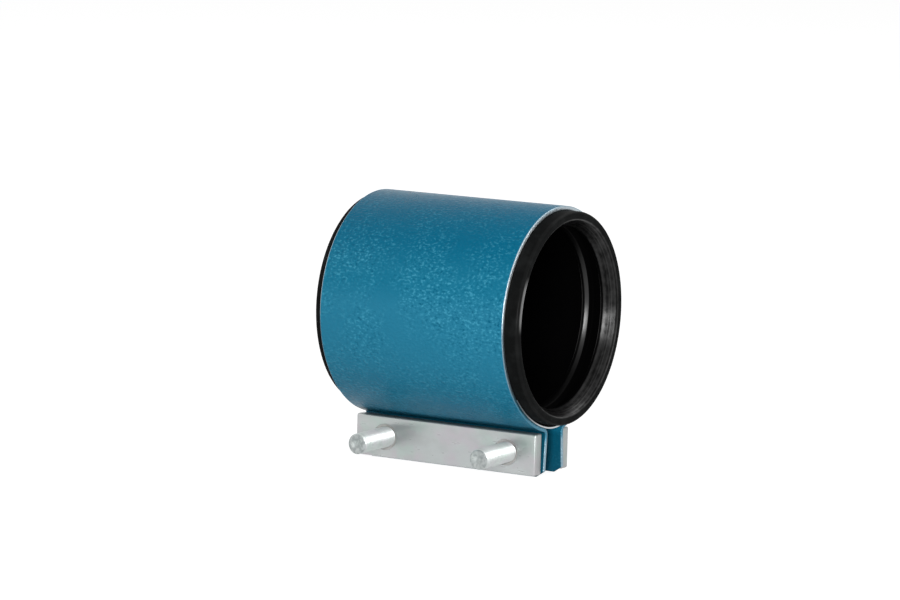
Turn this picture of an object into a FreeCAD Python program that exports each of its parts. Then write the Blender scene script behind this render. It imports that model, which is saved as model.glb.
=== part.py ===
"""Bolted hose connector: a steel band rolled round a rubber sleeve and closed by two screws.

Frame: millimetres, origin in the middle of the band on the bore axis, +X along the bore,
-Y towards the screw tips, +Z up. The gap between the band's ears faces straight down.
"""

import os

import FreeCAD
import Part
import Sketcher

NODE_FOLDER = "parts"

# Driving sizes: alias, value in millimetres or degrees, what it is
SIZES = [
    ("band_width", 100.0, "band along the bore"),
    ("band_radius", 53.0, "outside of the band above its loose part"),
    ("sheet_gauge", 2.0, "steel sheet of the band and its ears"),
    ("loose_start", 60.0, "degrees each side of the bottom where the band opens out"),
    ("loose_growth", 5.5, "extra radius of the band below that angle"),
    ("fold_radius", 2.0, "inside radius of the fold from band to ear"),
    ("ear_gap", 14.3, "clear gap between the ears at screw height"),
    ("ear_splay", 4.0, "degrees that each ear leans out"),
    ("ear_overhang", 1.4, "ears below the bars"),
    ("ear_corner_run", 4.5, "cut corner of an ear, along the bore"),
    ("ear_corner_rise", 3.0, "cut corner of an ear, upward"),
    ("ear_hole_clearance", 1.53, "punched hole over the screw, wide so that it can tilt"),
    ("screw_inset", 16.5, "end of the band's width to the nearer screw"),
    ("bar_shortfall", 0.5, "flat bar along the bore, less than the band"),
    ("bar_height", 20.0, "flat bar, upright"),
    ("bar_thickness", 6.0, "flat bar"),
    ("bar_edge_round", 0.9, "rolled edges of a flat bar"),
    ("bar_clearance", 0.62, "between the top of a bar and the band above it"),
    ("bar_offset", -1.0, "bars and screws against the middle of the band"),
    ("rear_hole_clearance", 0.53, "hole in the rear bar over the screw"),
    ("countersink_width", 1.38, "bevel at the mouth of a tapped hole"),
    ("foot_seat", 0.05, "between ear and bar where they touch"),
    ("screw_radius", 4.97, "thread crests of the M10 screw"),
    ("thread_clearance", 0.05, "tapped hole over the thread crests"),
    ("screw_length", 60.0, "screw under its head"),
    ("tip_bevel", 0.85, "bevel at the end of the thread"),
    ("head_across_flats", 17.0, "hexagon head"),
    ("head_height", 6.4, "hexagon head"),
    ("head_bevel", 0.4, "from the flats to the round top of the head"),
    ("washer_radius", 10.0, "flat washer"),
    ("washer_clearance", 0.28, "hole of the washer over the screw"),
    ("washer_gauge", 2.0, "flat washer"),
    ("sleeve_stand_out_left", 4.0, "rubber beyond the left end of the band"),
    ("sleeve_stand_out_right", 7.0, "rubber beyond the right end of the band"),
    ("sleeve_clearance", 0.05, "sleeve inside the band"),
    ("rim_outer_round", 1.4, "outer edge of the sleeve's rim"),
    ("rim_inner_round", 2.2, "inner edge of the sleeve's rim"),
    ("rim_rubber", 4.0, "rubber thickness at the rim"),
    ("lip_rubber", 7.45, "rubber thickness at the crest of a lip"),
    ("lip_depth", 6.6, "rim to the first lip"),
    ("lip_land", 1.4, "flat crest of a lip"),
    ("lip_back", 1.2, "length of the steep wall behind a lip"),
    ("lip_round", 0.45, "edges of a lip"),
    ("groove_rubber", 4.55, "rubber thickness in the groove behind the first lip"),
    ("groove_floor", 4.5, "flat floor of the groove"),
    ("groove_ramp", 1.3, "length of the steep slope out of the groove"),
    ("lead_length", 1.7, "gentle slope up to the second lip, along the bore"),
    ("lead_rise", 0.9, "gentle slope up to the second lip, in radius"),
    ("groove_round", 0.9, "corners of the groove"),
    ("middle_rubber", 5.75, "rubber thickness between the second lips"),
    ("plate_gauge", 0.8, "bridge plate under the sleeve"),
    ("plate_reach", 48.0, "degrees that the bridge plate runs up each side"),
    ("plate_seat", 0.03, "bridge plate to the band, and to the sleeve"),
]

# Worked-out sizes: alias, formula over the driving sizes, what it is
WORKED = [
    ("screw_spacing", "dims.band_width - 2 * dims.screw_inset", "between the two screws"),
    ("bar_length", "dims.band_width - dims.bar_shortfall", "flat bar along the bore"),
    ("band_bore", "dims.band_radius - dims.sheet_gauge", "inside of the band"),
    ("loose_outer", "dims.band_radius + dims.loose_growth", "outside of the loose part"),
    ("loose_inner", "loose_outer - dims.sheet_gauge", "inside of the loose part"),
    ("loose_side", "dims.loose_growth * sin(dims.loose_start)", "its centre, sideways"),
    ("loose_rise", "dims.loose_growth * cos(dims.loose_start)", "its centre, upward"),
    ("fold_outer", "dims.fold_radius + dims.sheet_gauge", "outside radius of the fold"),
    ("splay_sin", "sin(dims.ear_splay)", "lean of the ear"),
    ("splay_cos", "cos(dims.ear_splay)", "lean of the ear"),
    ("ear_face", "dims.ear_gap / 2 + dims.sheet_gauge / splay_cos", "outer face of the ear"),
    (
        "bar_face",
        "ear_face + dims.bar_height / 2 * tan(dims.ear_splay) + dims.foot_seat",
        "inner face of a bar, which meets the ear near its foot",
    ),
    ("bar_back", "bar_face + dims.bar_thickness", "outer face of a bar"),
    (
        "band_low",
        "sqrt(loose_outer ^ 2 - (bar_face + loose_side) ^ 2) - loose_rise",
        "bore axis to the band above the bar's inner edge",
    ),
    (
        "screw_drop",
        "band_low + dims.bar_clearance + dims.bar_height / 2",
        "bore axis to the line of the screws",
    ),
    (
        "ear_foot",
        "screw_drop + dims.bar_height / 2 + dims.ear_overhang",
        "bore axis to the lower edge of the ears",
    ),
    # The fold's centre lies on a line beside the ear and on a circle outside the loose part
    ("line_side", "dims.ear_gap / 2 + fold_outer * splay_cos + loose_side", "line, sideways"),
    ("line_drop", "screw_drop - fold_outer * splay_sin + loose_rise", "line, downward"),
    ("line_along", "line_side * splay_sin + line_drop * splay_cos", "line, along the ear"),
    ("fold_reach", "loose_outer + dims.fold_radius", "radius of that circle"),
    ("line_excess", "line_side ^ 2 + line_drop ^ 2 - fold_reach ^ 2", "line beyond the circle"),
    ("fold_slide", "line_along - sqrt(line_along ^ 2 - line_excess)", "way up that line"),
    ("fold_side", "line_side - loose_side - fold_slide * splay_sin", "fold centre, sideways"),
    ("fold_drop", "line_drop - loose_rise - fold_slide * splay_cos", "fold centre, downward"),
    (
        "fold_angle",
        "atan((fold_side + loose_side) / (fold_drop + loose_rise)) / 1 deg",
        "degrees from the bottom where the fold begins",
    ),
    (
        "ear_length",
        "(ear_foot - fold_drop - fold_outer * splay_sin) / splay_cos",
        "fold centre to the foot of the ear, along the ear",
    ),
    (
        "ear_low_side",
        "fold_side - fold_outer * splay_cos + ear_length * splay_sin",
        "inner lower edge of the ear, sideways",
    ),
    ("head_seat", "bar_back + dims.washer_gauge", "underside of a screw head"),
    ("ear_hole", "dims.screw_radius + dims.ear_hole_clearance", "hole in an ear"),
    ("rear_hole", "dims.screw_radius + dims.rear_hole_clearance", "hole in the rear bar"),
    ("tapped_hole", "dims.screw_radius + dims.thread_clearance", "hole in the front bar"),
    ("washer_hole", "dims.screw_radius + dims.washer_clearance", "hole in a washer"),
    ("head_corner", "dims.head_across_flats / 2 / cos(30)", "corner of the hexagon"),
    ("plate_outer", "loose_inner - dims.plate_seat", "outside of the plate's sides"),
    ("bridge_shift", "loose_side / sin(fold_angle)", "radius lost where it spans the gap"),
    ("bridge_outer", "plate_outer - bridge_shift", "outside of the plate at the gap"),
    ("bridge_drop", "bridge_shift * cos(fold_angle) - loose_rise", "its centre, downward"),
    (
        "sleeve_length",
        "dims.band_width + dims.sleeve_stand_out_left + dims.sleeve_stand_out_right",
        "rubber sleeve",
    ),
    (
        "sleeve_offset",
        "(dims.sleeve_stand_out_right - dims.sleeve_stand_out_left) / 2",
        "sleeve against the middle of the band",
    ),
    ("sleeve_radius", "band_bore - dims.sleeve_clearance", "outside of the sleeve"),
    ("mouth_bore", "sleeve_radius - dims.rim_rubber", "bore radius at the rim"),
    ("lip_bore", "sleeve_radius - dims.lip_rubber", "bore radius at the lips"),
    ("lead_bore", "lip_bore + dims.lead_rise", "bore radius where that slope begins"),
    ("groove_bore", "sleeve_radius - dims.groove_rubber", "bore radius in the groove"),
    ("middle_bore", "sleeve_radius - dims.middle_rubber", "bore radius between the lips"),
]

# Corners of the sleeve from one end inward: step along the bore, bore radius, its rounding
SLEEVE_CORNERS = [
    ("0", "worked.sleeve_radius", "rim_outer_round"),
    ("0", "worked.mouth_bore", "rim_inner_round"),
    ("dims.lip_depth", "worked.lip_bore", "lip_round"),
    ("dims.lip_land", "worked.lip_bore", "lip_round"),
    ("dims.lip_back", "worked.groove_bore", "groove_round"),
    ("dims.groove_floor", "worked.groove_bore", "groove_round"),
    ("dims.groove_ramp", "worked.lead_bore", "lip_round"),
    ("dims.lead_length", "worked.lip_bore", "lip_round"),
    ("dims.lip_land", "worked.lip_bore", "lip_round"),
    ("dims.lip_back", "worked.middle_bore", ""),
]

# Two places nearer than this count as one
SAME_PLACE = 1e-4
ALONG_Y = FreeCAD.Rotation(FreeCAD.Vector(1, 0, 0), -90)
AGAINST_Y = FreeCAD.Rotation(FreeCAD.Vector(1, 0, 0), 90)
# A profile across the bore is drawn with its x along Y and its y along Z
PROFILE_TO_FRAME = FreeCAD.Rotation(FreeCAD.Vector(1, 1, 1), 120)

doc = FreeCAD.newDocument("hose_connector")


def fill_sheet(name, rows, prefix=""):
    """Make a spreadsheet with an alias, a value and a note in each row."""
    sheet = doc.addObject("Spreadsheet::Sheet", name)
    for row, (alias, value, note) in enumerate(rows, start=1):
        sheet.set(f"A{row}", alias)
        sheet.set(f"B{row}", f"{prefix}{value}")
        sheet.set(f"C{row}", note)
        sheet.setAlias(f"B{row}", alias)
    doc.recompute()
    return sheet


def bind(thing, **formulas):
    """Bind properties to formulas; a double underscore stands for a dot."""
    for path, formula in formulas.items():
        thing.setExpression(path.replace("__", "."), formula)
    return thing


def place(thing, x="0", y="0", z="0"):
    """Bind where a piece stands."""
    return bind(thing, Placement__Base__x=x, Placement__Base__y=y, Placement__Base__z=z)


def primitive(kind, name, **formulas):
    """Make a Part primitive whose sizes follow the spreadsheets."""
    return bind(doc.addObject(f"Part::{kind}", name), **formulas)


def cut(name, base, tool):
    """Take a tool away from a base."""
    result = doc.addObject("Part::Cut", name)
    result.Base = base
    result.Tool = tool
    return result


def fuse(name, pieces):
    """Join pieces into one solid without seams."""
    result = doc.addObject("Part::MultiFuse", name)
    result.Shapes = pieces
    result.Refine = True
    return result


def turned(thing, angle):
    """Bind how far a piece of a profile is turned about the bore direction."""
    thing.Placement.Rotation = FreeCAD.Rotation(FreeCAD.Vector(0, 0, 1), 1)
    return bind(thing, Placement__Rotation__Angle=f"({angle}) * 1 deg")


def mirrored(name, source):
    """Repeat a piece of a profile on the other side of the upright middle plane."""
    result = doc.addObject("Part::Mirroring", name)
    result.Source = source
    result.Normal = FreeCAD.Vector(1, 0, 0)
    return result


def curved_sheet(name, inner, outer, start, sweep, width, side="0", rise="0"):
    """Make a piece of rolled sheet; angles run from straight down towards +Y."""
    rolled = []
    for wall, radius in (("outside", outer), ("inside", inner)):
        disc = primitive(
            "Cylinder",
            f"{name}_{wall}",
            Radius=radius,
            Height=width,
            Angle=f"({sweep}) * 1 deg",
        )
        place(disc, side, rise, f"-({width}) / 2")
        rolled.append(turned(disc, f"{start} - 90"))
    return cut(name, *rolled)


def base_plane(body, role):
    """Find one of a body's own origin planes."""
    return next(plane for plane in body.Origin.OriginFeatures if plane.Role == role)


def sketch_on(body, name, role):
    """Start a sketch on one of a body's own origin planes."""
    sketch = body.newObject("Sketcher::SketchObject", name)
    sketch.AttachmentSupport = [(base_plane(body, role), "")]
    sketch.MapMode = "FlatFace"
    return sketch


def locate(sketch, element, point, x, y):
    """Fix a sketch point at coordinates that follow the spreadsheets."""
    for kind, formula in (("DistanceX", x), ("DistanceY", y)):
        value = sketch.evalExpression(formula)
        index = sketch.addConstraint(
            Sketcher.Constraint(kind, -1, 1, element, point, float(value))
        )
        sketch.setExpression(f"Constraints[{index}]", formula)


def polygon(sketch, corners):
    """Draw a closed outline through corners given as pairs of formulas."""
    count = len(corners)
    points = [
        FreeCAD.Vector(*(float(sketch.evalExpression(value)) for value in corner), 0)
        for corner in corners
    ]
    for index in range(count):
        following = points[(index + 1) % count]
        sketch.addGeometry(Part.LineSegment(points[index], following))
    for index in range(count):
        sketch.addConstraint(
            Sketcher.Constraint("Coincident", index, 2, (index + 1) % count, 1)
        )
    for index, (x, y) in enumerate(corners):
        locate(sketch, index, 1, x, y)
    doc.recompute()
    return sketch


def screw_holes(sketch, radius):
    """Draw the two holes for the screws."""
    for index, sign in enumerate("-+"):
        centre = FreeCAD.Vector(float(sketch.evalExpression(f"{sign}worked.screw_spacing / 2")), 0, 0)
        circle = Part.Circle(centre, FreeCAD.Vector(0, 0, 1), sketch.evalExpression(radius))
        sketch.addGeometry(circle)
        locate(sketch, index, 3, f"{sign}worked.screw_spacing / 2", "0")
        size = sketch.addConstraint(Sketcher.Constraint("Radius", index, circle.Radius))
        sketch.setExpression(f"Constraints[{size}]", radius)
    doc.recompute()
    return sketch


def feature(body, kind, name, **settings):
    """Add a PartDesign feature to a body."""
    result = body.newObject(f"PartDesign::{kind}", name)
    for key, value in settings.items():
        setattr(result, key, value)
    return result


def circles(shape, wanted):
    """Name the round edges for which a test on centre and radius holds."""
    return [
        f"Edge{number}"
        for number, edge in enumerate(shape.Edges, start=1)
        if not edge.Degenerated
        and isinstance(edge.Curve, Part.Circle)
        and wanted(edge.Curve.Center, edge.Curve.Radius)
    ]


def ear_outline():
    """Make the side view of the ears, with their lower corners cut off, as a block."""
    body = doc.addObject("PartDesign::Body", "ear_outline")
    half = "dims.band_width / 2"
    foot = "-worked.ear_foot"
    run = f"{half} - dims.ear_corner_run"
    rise = f"{foot} + dims.ear_corner_rise"
    top = "dims.band_radius + dims.sheet_gauge"
    right = [(run, foot), (half, rise), (half, top)]
    left = [(f"-({x})", y) for x, y in reversed(right)]
    outline = polygon(sketch_on(body, "ear_outline_sketch", "XZ_Plane"), right + left)
    pad = feature(body, "Pad", "ear_outline_pad", Profile=outline, Midplane=True)
    bind(pad, Length="2 * (worked.loose_outer + worked.loose_side)")
    return body


def ear_holes():
    """Make the tools for the punched holes, each through both ears at once."""
    reach = "4 * worked.bar_face"
    tools = []
    for name, sign in (("left", "-"), ("right", "+")):
        tool = primitive(
            "Cylinder", f"ear_hole_{name}", Radius="worked.ear_hole", Height=reach
        )
        tool.Placement.Rotation = ALONG_Y
        place(tool, f"{sign}worked.screw_spacing / 2", f"-{reach} / 2", "-worked.screw_drop")
        tools.append(tool)
    return tools


def make_band():
    """Make the band: a shell that opens out towards its gap, a fold and an ear each side."""
    width = "dims.band_width"
    shell = curved_sheet(
        "band_shell",
        "worked.band_bore",
        "dims.band_radius",
        "dims.loose_start",
        "360 - 2 * dims.loose_start",
        width,
    )
    loose = curved_sheet(
        "band_loose",
        "worked.loose_inner",
        "worked.loose_outer",
        "worked.fold_angle",
        "dims.loose_start - worked.fold_angle",
        width,
        "-worked.loose_side",
        "worked.loose_rise",
    )
    fold = curved_sheet(
        "band_fold",
        "dims.fold_radius",
        "worked.fold_outer",
        "180 + worked.fold_angle",
        "90 + dims.ear_splay - worked.fold_angle",
        width,
        "worked.fold_side",
        "-worked.fold_drop",
    )
    ear = primitive(
        "Box", "band_ear", Length="dims.sheet_gauge", Width="worked.ear_length", Height=width
    )
    place(ear, "worked.ear_low_side", "-worked.ear_foot", f"-{width} / 2")
    turned(ear, "dims.ear_splay")
    half = fuse("band_half", [loose, fold, ear])
    blank = fuse("band_blank", [shell, half, mirrored("band_far_half", half)])
    blank.Placement.Rotation = PROFILE_TO_FRAME
    trimmed = doc.addObject("Part::Common", "band_trimmed")
    trimmed.Base = blank
    trimmed.Tool = ear_outline()
    return cut("band", trimmed, fuse("ear_holes", ear_holes()))


def plate_walls(name, inward, outward, width):
    """Make the bent shape of the bridge plate, or of the pocket it leaves in the sleeve."""
    side = curved_sheet(
        f"{name}_side",
        f"worked.plate_outer - {inward}",
        f"worked.plate_outer + {outward}",
        "worked.fold_angle",
        "dims.plate_reach - worked.fold_angle",
        width,
        "-worked.loose_side",
        "worked.loose_rise",
    )
    bridge = curved_sheet(
        f"{name}_bridge",
        f"worked.bridge_outer - {inward}",
        f"worked.bridge_outer + {outward}",
        "-worked.fold_angle",
        "2 * worked.fold_angle",
        width,
        "0",
        "-worked.bridge_drop",
    )
    walls = fuse(name, [side, bridge, mirrored(f"{name}_far_side", side)])
    walls.Placement.Rotation = PROFILE_TO_FRAME
    return walls


def make_sleeve():
    """Make the rubber sleeve: a turned profile with two lips at each end, and a pocket."""
    body = doc.addObject("PartDesign::Body", "sleeve_body")
    station = "worked.sleeve_length / 2"
    right = []
    rounds = {}
    for step, radius, rounding in SLEEVE_CORNERS:
        station = f"{station} - {step}"
        rounds.setdefault(rounding, []).append(len(right))
        right.append((station, radius))
    left = [(f"-({x})", radius) for x, radius in reversed(right)]
    profile = polygon(sketch_on(body, "sleeve_profile", "XY_Plane"), right + left)
    turning = feature(body, "Revolution", "sleeve_turned", Profile=profile)
    turning.ReferenceAxis = (profile, ["H_Axis"])
    turning.Angle = 360
    doc.recompute()
    last = turning
    for rounding, corners in rounds.items():
        if rounding:
            spots = [profile.getPoint(corner, 1) for corner in corners]
            last = round_circles(body, last, f"sleeve_{rounding}", spots)
            bind(last, Radius=f"dims.{rounding}")
            doc.recompute()
    place(body, "worked.sleeve_offset")
    pocket = plate_walls(
        "sleeve_pocket",
        "(dims.plate_gauge + dims.plate_seat)",
        "dims.band_radius",
        "dims.band_width + 2 * dims.plate_seat",
    )
    return cut("sleeve", body, pocket)


def round_circles(body, last, name, spots):
    """Round the turned edges that pass through some points of the right or left half."""

    def through_a_spot(centre, radius):
        """Tell whether a circle passes through one of the points or its mirror image."""
        return any(
            abs(abs(centre.x) - spot.x) < SAME_PLACE and abs(radius - spot.y) < SAME_PLACE
            for spot in spots
        )

    return feature(body, "Fillet", name, Base=(last, circles(last.Shape, through_a_spot)))


def make_bar(name, reverse, radius):
    """Make a flat bar with rounded edges and a hole for each screw."""
    body = doc.addObject("PartDesign::Body", name)
    half_length = "worked.bar_length / 2"
    half_height = "dims.bar_height / 2"
    corners = [
        (f"-{half_length}", f"-{half_height}"),
        (half_length, f"-{half_height}"),
        (half_length, half_height),
        (f"-{half_length}", half_height),
    ]
    outline = polygon(sketch_on(body, f"{name}_outline", "XZ_Plane"), corners)
    pad = feature(body, "Pad", f"{name}_pad", Profile=outline, Reversed=reverse)
    bind(pad, Length="dims.bar_thickness")
    doc.recompute()
    edges = feature(body, "Fillet", f"{name}_edges", Base=(pad, [""]), UseAllEdges=True)
    bind(edges, Radius="dims.bar_edge_round")
    holes = screw_holes(sketch_on(body, f"{name}_holes", "XZ_Plane"), radius)
    drilled = feature(body, "Pocket", f"{name}_drilled", Profile=holes, Type="ThroughAll")
    drilled.Midplane = True
    doc.recompute()
    sign = "+" if reverse else "-"
    place(body, "dims.bar_offset", f"{sign}worked.bar_face", "-worked.screw_drop")
    return body


def countersink(body):
    """Open the mouths of the tapped holes in a bar."""
    drilled = body.Tip
    bore = float(body.evalExpression("worked.tapped_hole"))
    rims = circles(drilled.Shape, lambda centre, radius: abs(radius - bore) < SAME_PLACE)
    mouths = feature(body, "Chamfer", f"{body.Name}_mouths", Base=(drilled, rims))
    bind(mouths, Size="dims.countersink_width")
    doc.recompute()
    return body


def make_screw(name, sign):
    """Make a hexagon screw, built upright from under its head and laid against Y."""
    hexagon = primitive(
        "Prism", f"{name}_hexagon", Circumradius="worked.head_corner", Height="dims.head_height"
    )
    top = "dims.head_across_flats / 2 - dims.head_bevel"
    bevel = primitive(
        "Cone",
        f"{name}_bevel",
        Radius1=top,
        Radius2=f"{top} + dims.head_height / tan(30)",
        Height="dims.head_height",
    )
    for piece in (hexagon, bevel):
        place(piece, z="-dims.head_height")
    head = doc.addObject("Part::Common", f"{name}_head")
    head.Base = hexagon
    head.Tool = bevel
    straight = "dims.screw_length - dims.tip_bevel"
    shank = primitive("Cylinder", f"{name}_shank", Radius="dims.screw_radius", Height=straight)
    tip = primitive(
        "Cone",
        f"{name}_tip",
        Radius1="dims.screw_radius",
        Radius2="dims.screw_radius - dims.tip_bevel",
        Height="dims.tip_bevel",
    )
    place(tip, z=straight)
    screw = fuse(name, [head, shank, tip])
    screw.Placement.Rotation = AGAINST_Y
    x = f"dims.bar_offset {sign} worked.screw_spacing / 2"
    return place(screw, x, "worked.head_seat", "-worked.screw_drop")


def make_washer(name, sign):
    """Make a flat washer between a screw head and the rear bar."""
    disc = primitive(
        "Cylinder", f"{name}_disc", Radius="dims.washer_radius", Height="dims.washer_gauge"
    )
    hole = primitive(
        "Cylinder", f"{name}_hole", Radius="worked.washer_hole", Height="dims.washer_gauge"
    )
    washer = cut(name, disc, hole)
    washer.Placement.Rotation = AGAINST_Y
    x = f"dims.bar_offset {sign} worked.screw_spacing / 2"
    return place(washer, x, "worked.head_seat", "-worked.screw_drop")


def save(node, thing):
    """Check a finished piece and write it."""
    shape = thing.Shape
    if shape.isNull() or not shape.isValid() or len(shape.Solids) != 1:
        raise RuntimeError(f"{node} is not one sound solid")
    thing.Label = node
    shape.exportStep(os.path.join(NODE_FOLDER, f"{node}.step"))
    print(f"{node}: {shape.Volume:.1f} mm3")


def main():
    """Build the document, check every object and write each piece."""
    fill_sheet("dims", SIZES)
    fill_sheet("worked", WORKED, prefix="=")
    pieces = {
        "band": make_band(),
        "bridge_plate": plate_walls("bridge_plate", "dims.plate_gauge", "0", "dims.band_width"),
        "sleeve": make_sleeve(),
        "front_bar": countersink(make_bar("front_bar", False, "worked.tapped_hole")),
        "rear_bar": make_bar("rear_bar", True, "worked.rear_hole"),
    }
    for side, sign in (("left", "-"), ("right", "+")):
        pieces[f"washer_{side}"] = make_washer(f"washer_{side}", sign)
        pieces[f"screw_{side}"] = make_screw(f"screw_{side}", sign)
    doc.recompute()
    failed = [thing.Name for thing in doc.Objects if {"Invalid", "Error"} & set(thing.State)]
    if failed:
        raise RuntimeError(f"these objects failed: {failed}")
    os.makedirs(NODE_FOLDER, exist_ok=True)
    for node, thing in pieces.items():
        save(node, thing)


main()
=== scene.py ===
"""Looks of a bolted hose connector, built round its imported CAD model.

A blue steel band wraps a rubber sleeve. Its two ears hang down side by side, a flat bar lies
outside each ear, and two hexagon screws run through all four. Frame: metres, origin on the
bore axis in the middle of the band, +X along the bore, -Y towards the screw tips, +Z up.
"""

import logging
import math
from collections.abc import Callable, Iterator
from contextlib import contextmanager
from dataclasses import dataclass
from enum import Enum
from typing import Any

import bpy
from mathutils import Matrix, Vector


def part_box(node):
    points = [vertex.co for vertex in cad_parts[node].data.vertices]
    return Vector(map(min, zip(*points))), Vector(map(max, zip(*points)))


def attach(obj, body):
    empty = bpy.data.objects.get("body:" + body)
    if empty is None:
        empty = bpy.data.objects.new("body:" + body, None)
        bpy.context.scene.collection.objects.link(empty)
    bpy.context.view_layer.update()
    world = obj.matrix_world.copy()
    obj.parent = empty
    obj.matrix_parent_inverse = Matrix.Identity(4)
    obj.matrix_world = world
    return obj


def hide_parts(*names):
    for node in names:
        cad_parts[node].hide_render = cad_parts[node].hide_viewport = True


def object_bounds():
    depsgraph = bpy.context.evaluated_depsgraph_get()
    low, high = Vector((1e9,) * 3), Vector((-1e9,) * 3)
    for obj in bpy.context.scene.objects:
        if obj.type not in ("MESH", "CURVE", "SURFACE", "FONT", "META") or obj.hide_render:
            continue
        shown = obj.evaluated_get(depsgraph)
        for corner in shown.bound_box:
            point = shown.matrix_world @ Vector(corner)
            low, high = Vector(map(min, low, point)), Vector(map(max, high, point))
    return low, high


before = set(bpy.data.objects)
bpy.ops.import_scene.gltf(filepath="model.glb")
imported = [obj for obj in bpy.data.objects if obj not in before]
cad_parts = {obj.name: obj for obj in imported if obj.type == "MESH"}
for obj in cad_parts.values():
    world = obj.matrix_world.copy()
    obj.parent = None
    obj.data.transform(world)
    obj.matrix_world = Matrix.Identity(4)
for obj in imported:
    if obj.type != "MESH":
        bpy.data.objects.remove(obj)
CAD_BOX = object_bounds()

MM = 0.001
MERGE = 1e-6
QUARTER_TURN = math.pi / 2
HALF_TURN = math.pi
FULL_TURN = math.tau

# Degrees that a strip of a turned corner's rounding spans, and the fewest strips
CORNER_DEGREES = 12
CORNER_STRIPS = 3

log = logging.getLogger("hose_connector")


class Axis(Enum):
    """Directions of the part's own frame."""

    ALONG_BORE = Vector((1, 0, 0))
    ALONG_SCREWS = Vector((0, 1, 0))
    UPWARD = Vector((0, 0, 1))


class Slot(Enum):
    """Material slots of the record."""

    BAND = "painted_band"
    SLEEVE = "sleeve_rubber"
    SHEET = "bright_sheet"
    BAR = "zinc_bar"
    FASTENER = "zinc_fastener"


@dataclass(frozen=True)
class Corner:
    """A corner of a turned outline, along and out from the axis, with its arc's radius."""

    along: float
    out: float
    rounding: float = 0.0


# Pieces on the bench


class Piece:
    """A new piece on the bench, shaped in edit mode and finished with modifiers."""

    def __init__(self, name: str) -> None:
        """Keep the object that a primitive has just added, and name it."""
        self.thing = bpy.context.object
        self.thing.name = self.thing.data.name = name

    @classmethod
    def point(cls, name: str, at: Vector) -> "Piece":
        """Start a piece as one vertex, ready to be extruded and spun."""
        bpy.ops.mesh.primitive_plane_add(size=MM)
        piece = cls(name)
        with piece.editing():
            bpy.ops.mesh.merge(type="CENTER")
            bpy.ops.transform.translate(value=at)
        return piece

    def pick(self) -> None:
        """Select this piece alone and make it active."""
        bpy.ops.object.select_all(action="DESELECT")
        self.thing.select_set(True)
        bpy.context.view_layer.objects.active = self.thing

    @contextmanager
    def editing(self) -> Iterator[None]:
        """Enter edit mode for a while, with the whole of this piece selected."""
        self.pick()
        bpy.ops.object.mode_set(mode="EDIT")
        bpy.ops.mesh.select_all(action="SELECT")
        try:
            yield
        finally:
            bpy.ops.object.mode_set(mode="OBJECT")

    def line_by(self, step: Vector) -> None:
        """Extrude what is selected by a step, in edit mode."""
        bpy.ops.mesh.extrude_region_move(TRANSFORM_OT_translate={"value": step})

    def arc(self, centre: Vector, axis: Vector, angle: float, steps: int) -> None:
        """Spin what is selected about an axis, in edit mode.

        Args:
            centre: A point of the axis.
            axis: Its direction.
            angle: Turn by the right-hand rule about the axis, in radians.
            steps: Number of segments.
        """
        # The operator turns against the right-hand rule
        bpy.ops.mesh.spin(steps=steps, angle=-angle, center=centre, axis=axis)

    def close_up(self) -> None:
        """Merge doubled vertices and point every face outwards."""
        with self.editing():
            bpy.ops.mesh.remove_doubles(threshold=MERGE)
            bpy.ops.mesh.normals_make_consistent(inside=False)

    def cut(self, at: Vector, normal: Vector, fill: bool = False) -> None:
        """Cut the piece by a plane and clear away the side that its normal points to.

        Args:
            at: A point of the plane.
            normal: The plane's normal.
            fill: Whether a face closes the cut.
        """
        with self.editing():
            bpy.ops.mesh.bisect(
                plane_co=at, plane_no=normal, use_fill=fill, clear_outer=True, threshold=MERGE
            )

    def modify(self, kind: str, **settings: Any) -> None:
        """Add a modifier of some type with these settings, and apply it."""
        modifier = self.thing.modifiers.new(kind.lower(), kind)
        for name, value in settings.items():
            setattr(modifier, name, value)
        bpy.context.view_layer.objects.active = self.thing
        bpy.ops.object.modifier_apply(modifier=modifier.name)

    def combine(self, other: "Piece", operation: str) -> None:
        """Cut, join or intersect with another piece, which is used up.

        Args:
            other: The tool.
            operation: DIFFERENCE, UNION or INTERSECT.
        """
        self.modify("BOOLEAN", object=other.thing, operation=operation, solver="EXACT")
        other.discard()

    def discard(self) -> None:
        """Remove a tool that has done its work, by its mesh."""
        bpy.data.meshes.remove(self.thing.data)

    def soften(self, width: float, segments: int = 2, above: float = 40.0) -> None:
        """Round the sharp edges a little.

        Args:
            width: Width of the rounding.
            segments: Number of strips across it.
            above: Edges sharper than this many degrees are rounded.
        """
        limit = {"limit_method": "ANGLE", "angle_limit": math.radians(above)}
        self.modify("BEVEL", width=width, segments=segments, **limit)

    def move(self, step: Vector) -> None:
        """Move the whole mesh, while the object stays at the origin."""
        with self.editing():
            bpy.ops.transform.translate(value=step)

    def shade(self, angle: float = 35.0) -> None:
        """Shade smoothly across edges flatter than an angle in degrees."""
        self.pick()
        bpy.ops.object.shade_smooth_by_angle(angle=math.radians(angle))

    def copy(self, name: str, step: Vector) -> "Piece":
        """Repeat the piece a step away, under a name and with a mesh of its own."""
        self.pick()
        bpy.ops.object.duplicate(linked=False)
        twin = Piece(name)
        twin.move(step)
        return twin

    def dress(self, body: str, slot: Slot, material: bpy.types.Material, *nodes: str) -> None:
        """Give the finished piece its material and body, and hide the nodes it stands for.

        Args:
            body: The CAD body that it rides on.
            slot: The record's material slot; not used.
            material: Its finish.
            *nodes: CAD nodes that it replaces.
        """
        self.thing.data.materials.clear()
        self.thing.data.materials.append(material)
        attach(self.thing, body)
        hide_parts(*nodes)
        log.info("%s: %d faces on %s", self.thing.name, len(self.thing.data.polygons), body)


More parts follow.
